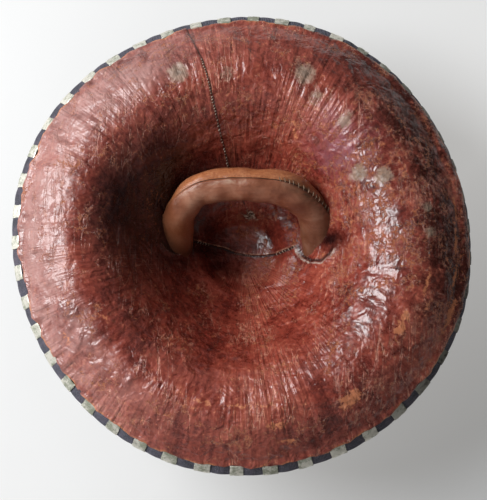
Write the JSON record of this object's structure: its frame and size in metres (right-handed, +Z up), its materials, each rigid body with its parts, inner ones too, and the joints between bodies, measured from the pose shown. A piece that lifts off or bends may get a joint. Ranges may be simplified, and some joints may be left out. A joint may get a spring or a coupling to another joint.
{
  "type": "hide shield",
  "caption": "Round dished hide shield lying face down, red leather lining, arched leather handle, cloth cover held by metal rim clips.",
  "frame": {"origin": "on the ground under the middle of the shield's width and length, at the flat end of the boss it lies on", "axes": "+Z up, out of the back of the shield; +Y the way the handle leans; +X across, along the handle's feet"},
  "size_m": [0.5106, 0.5162, 0.1647],
  "materials": {
    "hide": "matte",
    "red_leather": "satin",
    "dark_cloth": "matte",
    "silvered_metal": "satin",
    "tan_leather": "satin"
  },
  "bodies": {
    "root": {"hide_body": "hide", "cloth_cover": "dark_cloth", "red_lining": "red_leather", "handle": "tan_leather", "thong_knot": "tan_leather", "rim_clip_01": "silvered_metal", "rim_clip_02": "silvered_metal", "rim_clip_03": "silvered_metal", "rim_clip_04": "silvered_metal", "rim_clip_05": "silvered_metal", "rim_clip_06": "silvered_metal", "rim_clip_07": "silvered_metal", "rim_clip_08": "silvered_metal", "rim_clip_09": "silvered_metal", "rim_clip_10": "silvered_metal", "rim_clip_11": "silvered_metal", "rim_clip_12": "silvered_metal", "rim_clip_13": "silvered_metal", "rim_clip_14": "silvered_metal", "rim_clip_15": "silvered_metal", "rim_clip_16": "silvered_metal", "rim_clip_17": "silvered_metal", "rim_clip_18": "silvered_metal", "rim_clip_19": "silvered_metal", "rim_clip_20": "silvered_metal", "rim_clip_21": "silvered_metal", "rim_clip_22": "silvered_metal", "rim_clip_23": "silvered_metal", "rim_clip_24": "silvered_metal", "rim_clip_25": "silvered_metal", "rim_clip_26": "silvered_metal", "rim_clip_27": "silvered_metal", "rim_clip_28": "silvered_metal", "rim_clip_29": "silvered_metal", "rim_clip_30": "silvered_metal", "rim_clip_31": "silvered_metal", "rim_clip_32": "silvered_metal", "rim_clip_33": "silvered_metal", "rim_clip_34": "silvered_metal", "rim_clip_35": "silvered_metal", "rim_clip_36": "silvered_metal", "rim_clip_37": "silvered_metal", "rim_clip_38": "silvered_metal", "rim_clip_39": "silvered_metal", "rim_clip_40": "silvered_metal", "rim_clip_41": "silvered_metal", "rim_clip_42": "silvered_metal", "rim_clip_43": "silvered_metal", "rim_clip_44": "silvered_metal", "rim_clip_45": "silvered_metal"}
  },
  "joints": []
}
